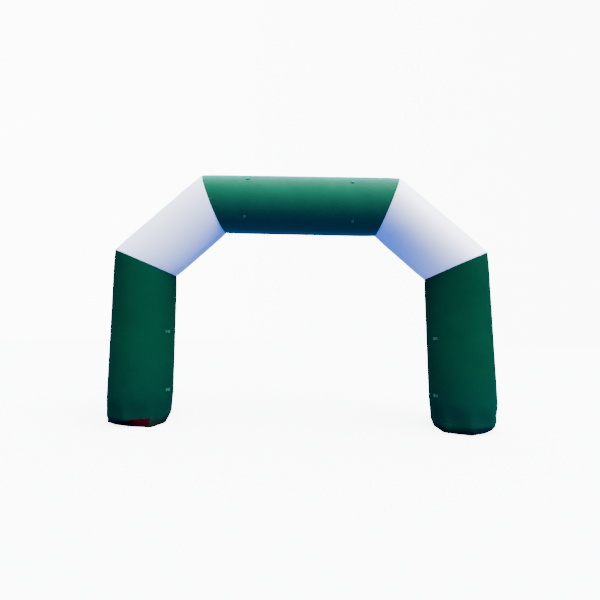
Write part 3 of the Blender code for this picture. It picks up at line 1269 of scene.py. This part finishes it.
@dataclass
class RimPatch:
    """Red cloth patch on the rim of a base: a tall part, and a low tail round one hem corner."""

    base: GatheredBase
    low: float = 0.025
    tall_top: float = 0.132
    tail_top: float = 0.100
    corner: int = 3
    start: float = 0.012
    tall_end: float = 0.290
    drop_run: float = 0.03              # over which the tall part falls to the tail
    tail_end: float = 0.640
    taper: float = 0.35                 # share of its height that the tail loses
    taper_run: float = 0.25
    lift: float = 0.0006
    thickness: float = 0.0014
    columns: int = 130
    rows: int = 22
    outside: float = 0.8                # from the leg's foot, where the search for the rim starts

    def _angle(self, run: float) -> float:
        """Angle of the point this far along the hem from the patch's corner, towards the outer side.

        Args:
            run: distance along the hem.

        Returns:
            Degrees round the leg.
        """
        corners = self.base.leg.hem.corners
        for near, far in zip(corners[self.corner::-1], corners[self.corner - 1::-1]):
            side = 2.0 * self.base.leg.radius * math.sin(math.radians(near - far) / 2)
            if run <= side:
                break
            run -= side
        off_middle = math.atan((0.5 - run / side) * 2.0 * math.tan(math.radians(near - far) / 2))
        return (near + far) / 2 + math.degrees(off_middle)

    def build(self, skin: Skin) -> None:
        """Build the patch on the base's skin.

        Args:
            skin: the base's finished skin.
        """
        runs = np.linspace(self.start, self.tail_end, self.columns)
        drop = smooth((runs - self.tall_end) / self.drop_run + 0.5)
        taper = 1.0 - self.taper * smooth((runs - self.tail_end + self.taper_run) / self.taper_run)
        top = self.low + (self.tall_top + (self.tail_top - self.tall_top) * drop - self.low) * taper
        heights = self.low + (top[:, None] - self.low) * np.linspace(0.0, 1.0, self.rows)[None, :]
        outwards = unit(self.base.leg.square(np.array([self._angle(run) for run in runs])) * LEVEL)
        middle = self.base.leg.start * LEVEL
        inner = np.array([[skin.touch(middle + way * self.outside + UP * height, -way) for height in column]
                          for way, column in zip(outwards, heights)])
        inner = inner + outwards[:, None, :] * self.lift
        outer = inner + outwards[:, None, :] * self.thickness
        rings = np.concatenate((inner, outer[:, ::-1]), axis=1)
        place = np.stack((np.broadcast_to(runs[:, None], heights.shape), heights), axis=-1)
        cloth = np.concatenate((place, place[:, ::-1]), axis=1)
        piece = SkinMesh(rings, cloth, flip=False).build("red_patch_cloth", RED)
        stand_for(piece, "red_patch")


class SidePlan(NamedTuple):
    """One side of the arch: distance from the middle and height of its corners, and its hem."""

    foot: tuple[float, float]
    knee: tuple[float, float]
    crown: tuple[float, float]
    hem: Hem
    hem_finish: CoatedCloth
    base_seed: int


@dataclass
class Arch:
    """The whole arch, laid out from its corners."""

    radius: float = 0.477
    base_top: float = 0.140
    plans: dict[Side, SidePlan] = field(default_factory=lambda: {
        Side.LEFT: SidePlan(
            (2.495, 0.0), (2.570, 2.550), (1.465, 3.585),
            Hem((1, 4, 8, 12, 15, 19, 23, 28), (1.05, 0.74, 0.68, 1.06, 0.95, 0.87, 0.87, 0.87)),
            LEFT_HEM_GREEN, base_seed=19),
        Side.RIGHT: SidePlan(
            (2.573, 0.0), (2.553, 2.540), (1.458, 3.540),
            Hem((1, 5, 9, 13, 17, 21, 25, 29), (0.87, 0.68, 0.84, 1.03, 0.90, 0.87, 0.87, 0.87)),
            HEM_GREEN, base_seed=21)})
    looks: dict[str, Look] = field(default_factory=lambda: {
        "leg_left": Look(LEFT_LEG_GREEN, GREEN_THREAD, "green_cloth", 3, 0.009),
        "leg_right": Look(LEG_GREEN, GREEN_THREAD, "green_cloth", 5, 0.009),
        "shoulder_left": Look(WHITE, WHITE_THREAD, "white_cloth", 7, 0.007),
        "shoulder_right": Look(WHITE, WHITE_THREAD, "white_cloth", 11, 0.007),
        "crossbeam": Look(GREEN, GREEN_THREAD, "green_cloth", 13, 0.002)})
    loops: tuple[TieLoop, ...] = (
        TieLoop("loop_leg_left_low", "leg_left", 0.350, 15.0),
        TieLoop("loop_leg_left_high", "leg_left", 1.260, 14.5),
        TieLoop("loop_leg_right_low", "leg_right", 0.365, 14.5),
        TieLoop("loop_leg_right_high", "leg_right", 1.227, 14.0),
        TieLoop("loop_beam_left_low", "crossbeam", 0.595, 12.0),
        TieLoop("loop_beam_left_top", "crossbeam", 0.635, 5.0, LIT_WEBBING),
        TieLoop("loop_beam_right_low", "crossbeam", 2.310, 12.5),
        TieLoop("loop_beam_right_top", "crossbeam", 2.295, 5.5, LIT_WEBBING),
    )

    def lines(self) -> dict[str, TubeLine]:
        """Centre lines and seam planes of the five tubes.

        Returns:
            The line of each tube, by its node.
        """
        made: dict[str, TubeLine] = {}
        for side, plan in self.plans.items():
            foot, knee, crown = (self._corner(side, place) for place in (plan.foot, plan.knee, plan.crown))
            up_leg, up_shoulder = unit(knee - foot), unit(crown - knee)
            across = unit(self._corner(side.other, self.plans[side.other].crown) - crown)
            knee_normal, crown_normal = unit(up_leg + up_shoulder), unit(up_shoulder + across)
            seam = foot + (knee - foot) * self.base_top / knee[2]
            made[f"leg_{side.value}"] = TubeLine(
                seam, knee, UP, knee_normal, self._outside(up_leg, side.sign), self.radius, plan.hem)
            made[f"shoulder_{side.value}"] = TubeLine(
                knee, crown, knee_normal, crown_normal, self._outside(up_shoulder, side.sign), self.radius)
        left, right = made["shoulder_left"], made["shoulder_right"]
        made["crossbeam"] = TubeLine(left.end, right.end, left.end_normal, right.end_normal,
                                     self._outside(unit(right.end - left.end), -1), self.radius)
        return made

    @staticmethod
    def _corner(side: Side, place: tuple[float, float]) -> Array:
        """A corner of the centre line."""
        return np.array((side.sign * place[0], 0.0, place[1]))

    @staticmethod
    def _outside(along: Array, sign: int) -> Array:
        """Direction square to a tube, away from the opening."""
        return np.array((sign * along[2], 0.0, -sign * along[0]))

    def build(self) -> None:
        """Build every piece, then sew."""
        lines = self.lines()
        tubes: dict[str, ClothTube] = {}
        skins: dict[str, Skin] = {}
        for name, line in lines.items():
            dimples = tuple(Dimple(loop.angle, loop.distance) for loop in self.loops if loop.tube == name)
            tubes[name] = ClothTube(name, line, self.looks[name], dimples)
            skins[name] = Skin(tubes[name].build())
        for loop in self.loops:
            loop.build(lines[loop.tube], skins[loop.tube])
        for side, plan in self.plans.items():
            base = GatheredBase(f"base_{side.value}", lines[f"leg_{side.value}"], self.base_top,
                                plan.base_seed, plan.hem_finish)
            skin = Skin(base.build())
            if side is Side.LEFT:
                RimPatch(base).build(skin)
        for name, tube in tubes.items():
            tube.sew(skins[name])
        sizes = {"Stitch Pitch": 0.0045, "Stitch Length": 0.0038, "Thread Width": 0.0012}
        for name in ("beam", "leg"):
            rows = [row for loop in self.loops if name in loop.tube
                    for row in loop.rows(lines[loop.tube], skins[loop.tube])]
            STITCHES.sew(f"{name}_loop_stitches", rows, TAPE_THREAD, "webbing", sizes)


# ---------------------------------------------------------------- studio


@dataclass
class Studio:
    """Pale floor, soft light from above, and the camera."""

    camera_place: Point = (0.1557, -4.9824, 1.3928)
    pitch: float = 6.5
    turn: float = 1.565
    roll: float = 0.852
    lens: float = 18.32
    film: float = 36.0
    floor_reach: float = 60.0
    wall_height: float = 180.0
    floor_sides: int = 64
    floor_colour: Colour = (0.86, 0.86, 0.86)
    sun_strength: float = 6.8
    sun_spread: float = 50.0
    sun_place: Point = (0.75, -0.42, 0.80)
    fill_place: Point = (0.6, -3.0, 1.3)
    fill_aim: Point = (2.55, 0.0, 1.35)
    fill_size: float = 1.0
    fill_spread: float = 56.0
    fill_power: float = 7.8
    sky_low: Colour = (0.0094, 0.0267, 0.130)
    sky_level: Colour = (0.0024, 0.0063, 0.0275)
    sky_high: Colour = (0.88, 0.955, 1.03)
    sky_strength: float = 11.1
    sky_axis: Point = (0.15, -0.15, 0.98)
    white_from: float = 0.72            # places of the sky's colours, from 0 to 1 over half a turn
    white_full: float = 0.95
    blue_from: float = 0.48
    blue_full: float = 0.75
    floor_glow: float = 5.0
    wall_glow: float = 9.0

    def build(self) -> None:
        """Build the floor, the sky, the lights and the camera."""
        self._floor()
        self._sky()
        self._lights()
        self._camera()

    def _floor(self) -> None:
        """Lay the floor and the pale wall far round it; they show, but throw no light on the arch."""
        turns = np.radians(even_turns(self.floor_sides))
        ring = (np.stack((np.cos(turns), np.sin(turns)), axis=-1) * self.floor_reach).tolist()
        low, high = ([(x, y, height) for x, y in ring] for height in (0.0, self.wall_height))
        count = self.floor_sides
        walls = [(spot, (spot + 1) % count, (spot + 1) % count + count, spot + count)
                 for spot in range(count)]
        self._stage("floor", low, [tuple(range(count))], self.floor_glow)
        self._stage("wall", low + high, walls, self.wall_glow)

    def _stage(self, name: str, points: list[Point], faces: list[tuple[int, ...]], glow: float) -> None:
        """Build one pale surface of the studio.

        Args:
            name: its name.
            points: its corners.
            faces: its faces.
            glow: light that it gives off to the camera.
        """
        mesh = bpy.data.meshes.new(name)
        mesh.from_pydata(points, [], faces)
        mesh.materials.append(GlowingScreen(f"pale_{name}", self.floor_colour, glow).material())
        piece = placed(name, mesh)
        piece.visible_diffuse = False
        piece.visible_glossy = False
        piece.visible_shadow = False

    def _sky(self) -> None:
        """Soft surround: white above, blue below."""
        world = bpy.data.worlds.new("surround")
        world.use_nodes = True
        wires = Wiring(world.node_tree)
        way = wires.add("ShaderNodeTexCoord").outputs["Generated"]
        toward = wires.add("ShaderNodeVectorMath", {"operation": "DOT_PRODUCT"}, i0=way, i1=self.sky_axis)
        above = wires.math("MULTIPLY_ADD", toward.outputs["Value"], 0.5, 0.5)
        white = wires.ramp(above, (self.white_from, self.sky_level), (self.white_full, self.sky_high))
        below = wires.math("MULTIPLY_ADD", wires.part(way, "Z"), -0.5, 0.5)
        blue = wires.ramp(below, (self.blue_from, (0.0, 0.0, 0.0)), (self.blue_full, self.sky_low))
        colour = wires.add("ShaderNodeVectorMath", {"operation": "ADD"}, i0=white, i1=blue).outputs["Vector"]
        light = wires.add("ShaderNodeBackground", Color=colour, Strength=self.sky_strength).outputs[0]
        wires.add("ShaderNodeOutputWorld", Surface=light)
        bpy.context.scene.world = world

    def _lights(self) -> None:
        """Hang a broad soft light above, right and front, and a weak one that shines on the right leg."""
        key = self._light("key", "SUN", self.sun_strength, Vector(self.sun_place))
        key.data.angle = math.radians(self.sun_spread)
        fill = self._light("fill", "AREA", self.fill_power, Vector(self.fill_place) - Vector(self.fill_aim))
        fill.location = self.fill_place
        fill.data.shape = "DISK"
        fill.data.size = self.fill_size
        fill.data.spread = math.radians(self.fill_spread)

    @staticmethod
    def _light(name: str, kind: str, power: float, back: Vector) -> Object:
        """Add a light.

        Args:
            name: its name.
            kind: Blender's type of light.
            power: its power or strength.
            back: direction from what it shines on.

        Returns:
            The light's object.
        """
        data = bpy.data.lights.new(name, kind)
        data.energy = power
        lamp = placed(name, data)
        lamp.rotation_mode = "QUATERNION"
        lamp.rotation_quaternion = back.to_track_quat("Z", "Y")
        return lamp

    def _camera(self) -> None:
        """Stand the camera in front of the arch."""
        data = bpy.data.cameras.new("camera")
        data.lens = self.lens
        data.sensor_width = self.film
        camera = placed("camera", data)
        camera.matrix_world = Matrix.Translation(self.camera_place)
        for angle, axis in ((self.turn, "Z"), (90.0 + self.pitch, "X"), (self.roll, "Z")):
            camera.matrix_world = camera.matrix_world @ Matrix.Rotation(math.radians(angle), 4, axis)
        bpy.context.scene.camera = camera


def main() -> None:
    """Build the arch and the studio."""
    logging.basicConfig(level=logging.INFO, format="%(message)s")
    Arch().build()
    Studio().build()


if __name__ == "__main__":
    main()
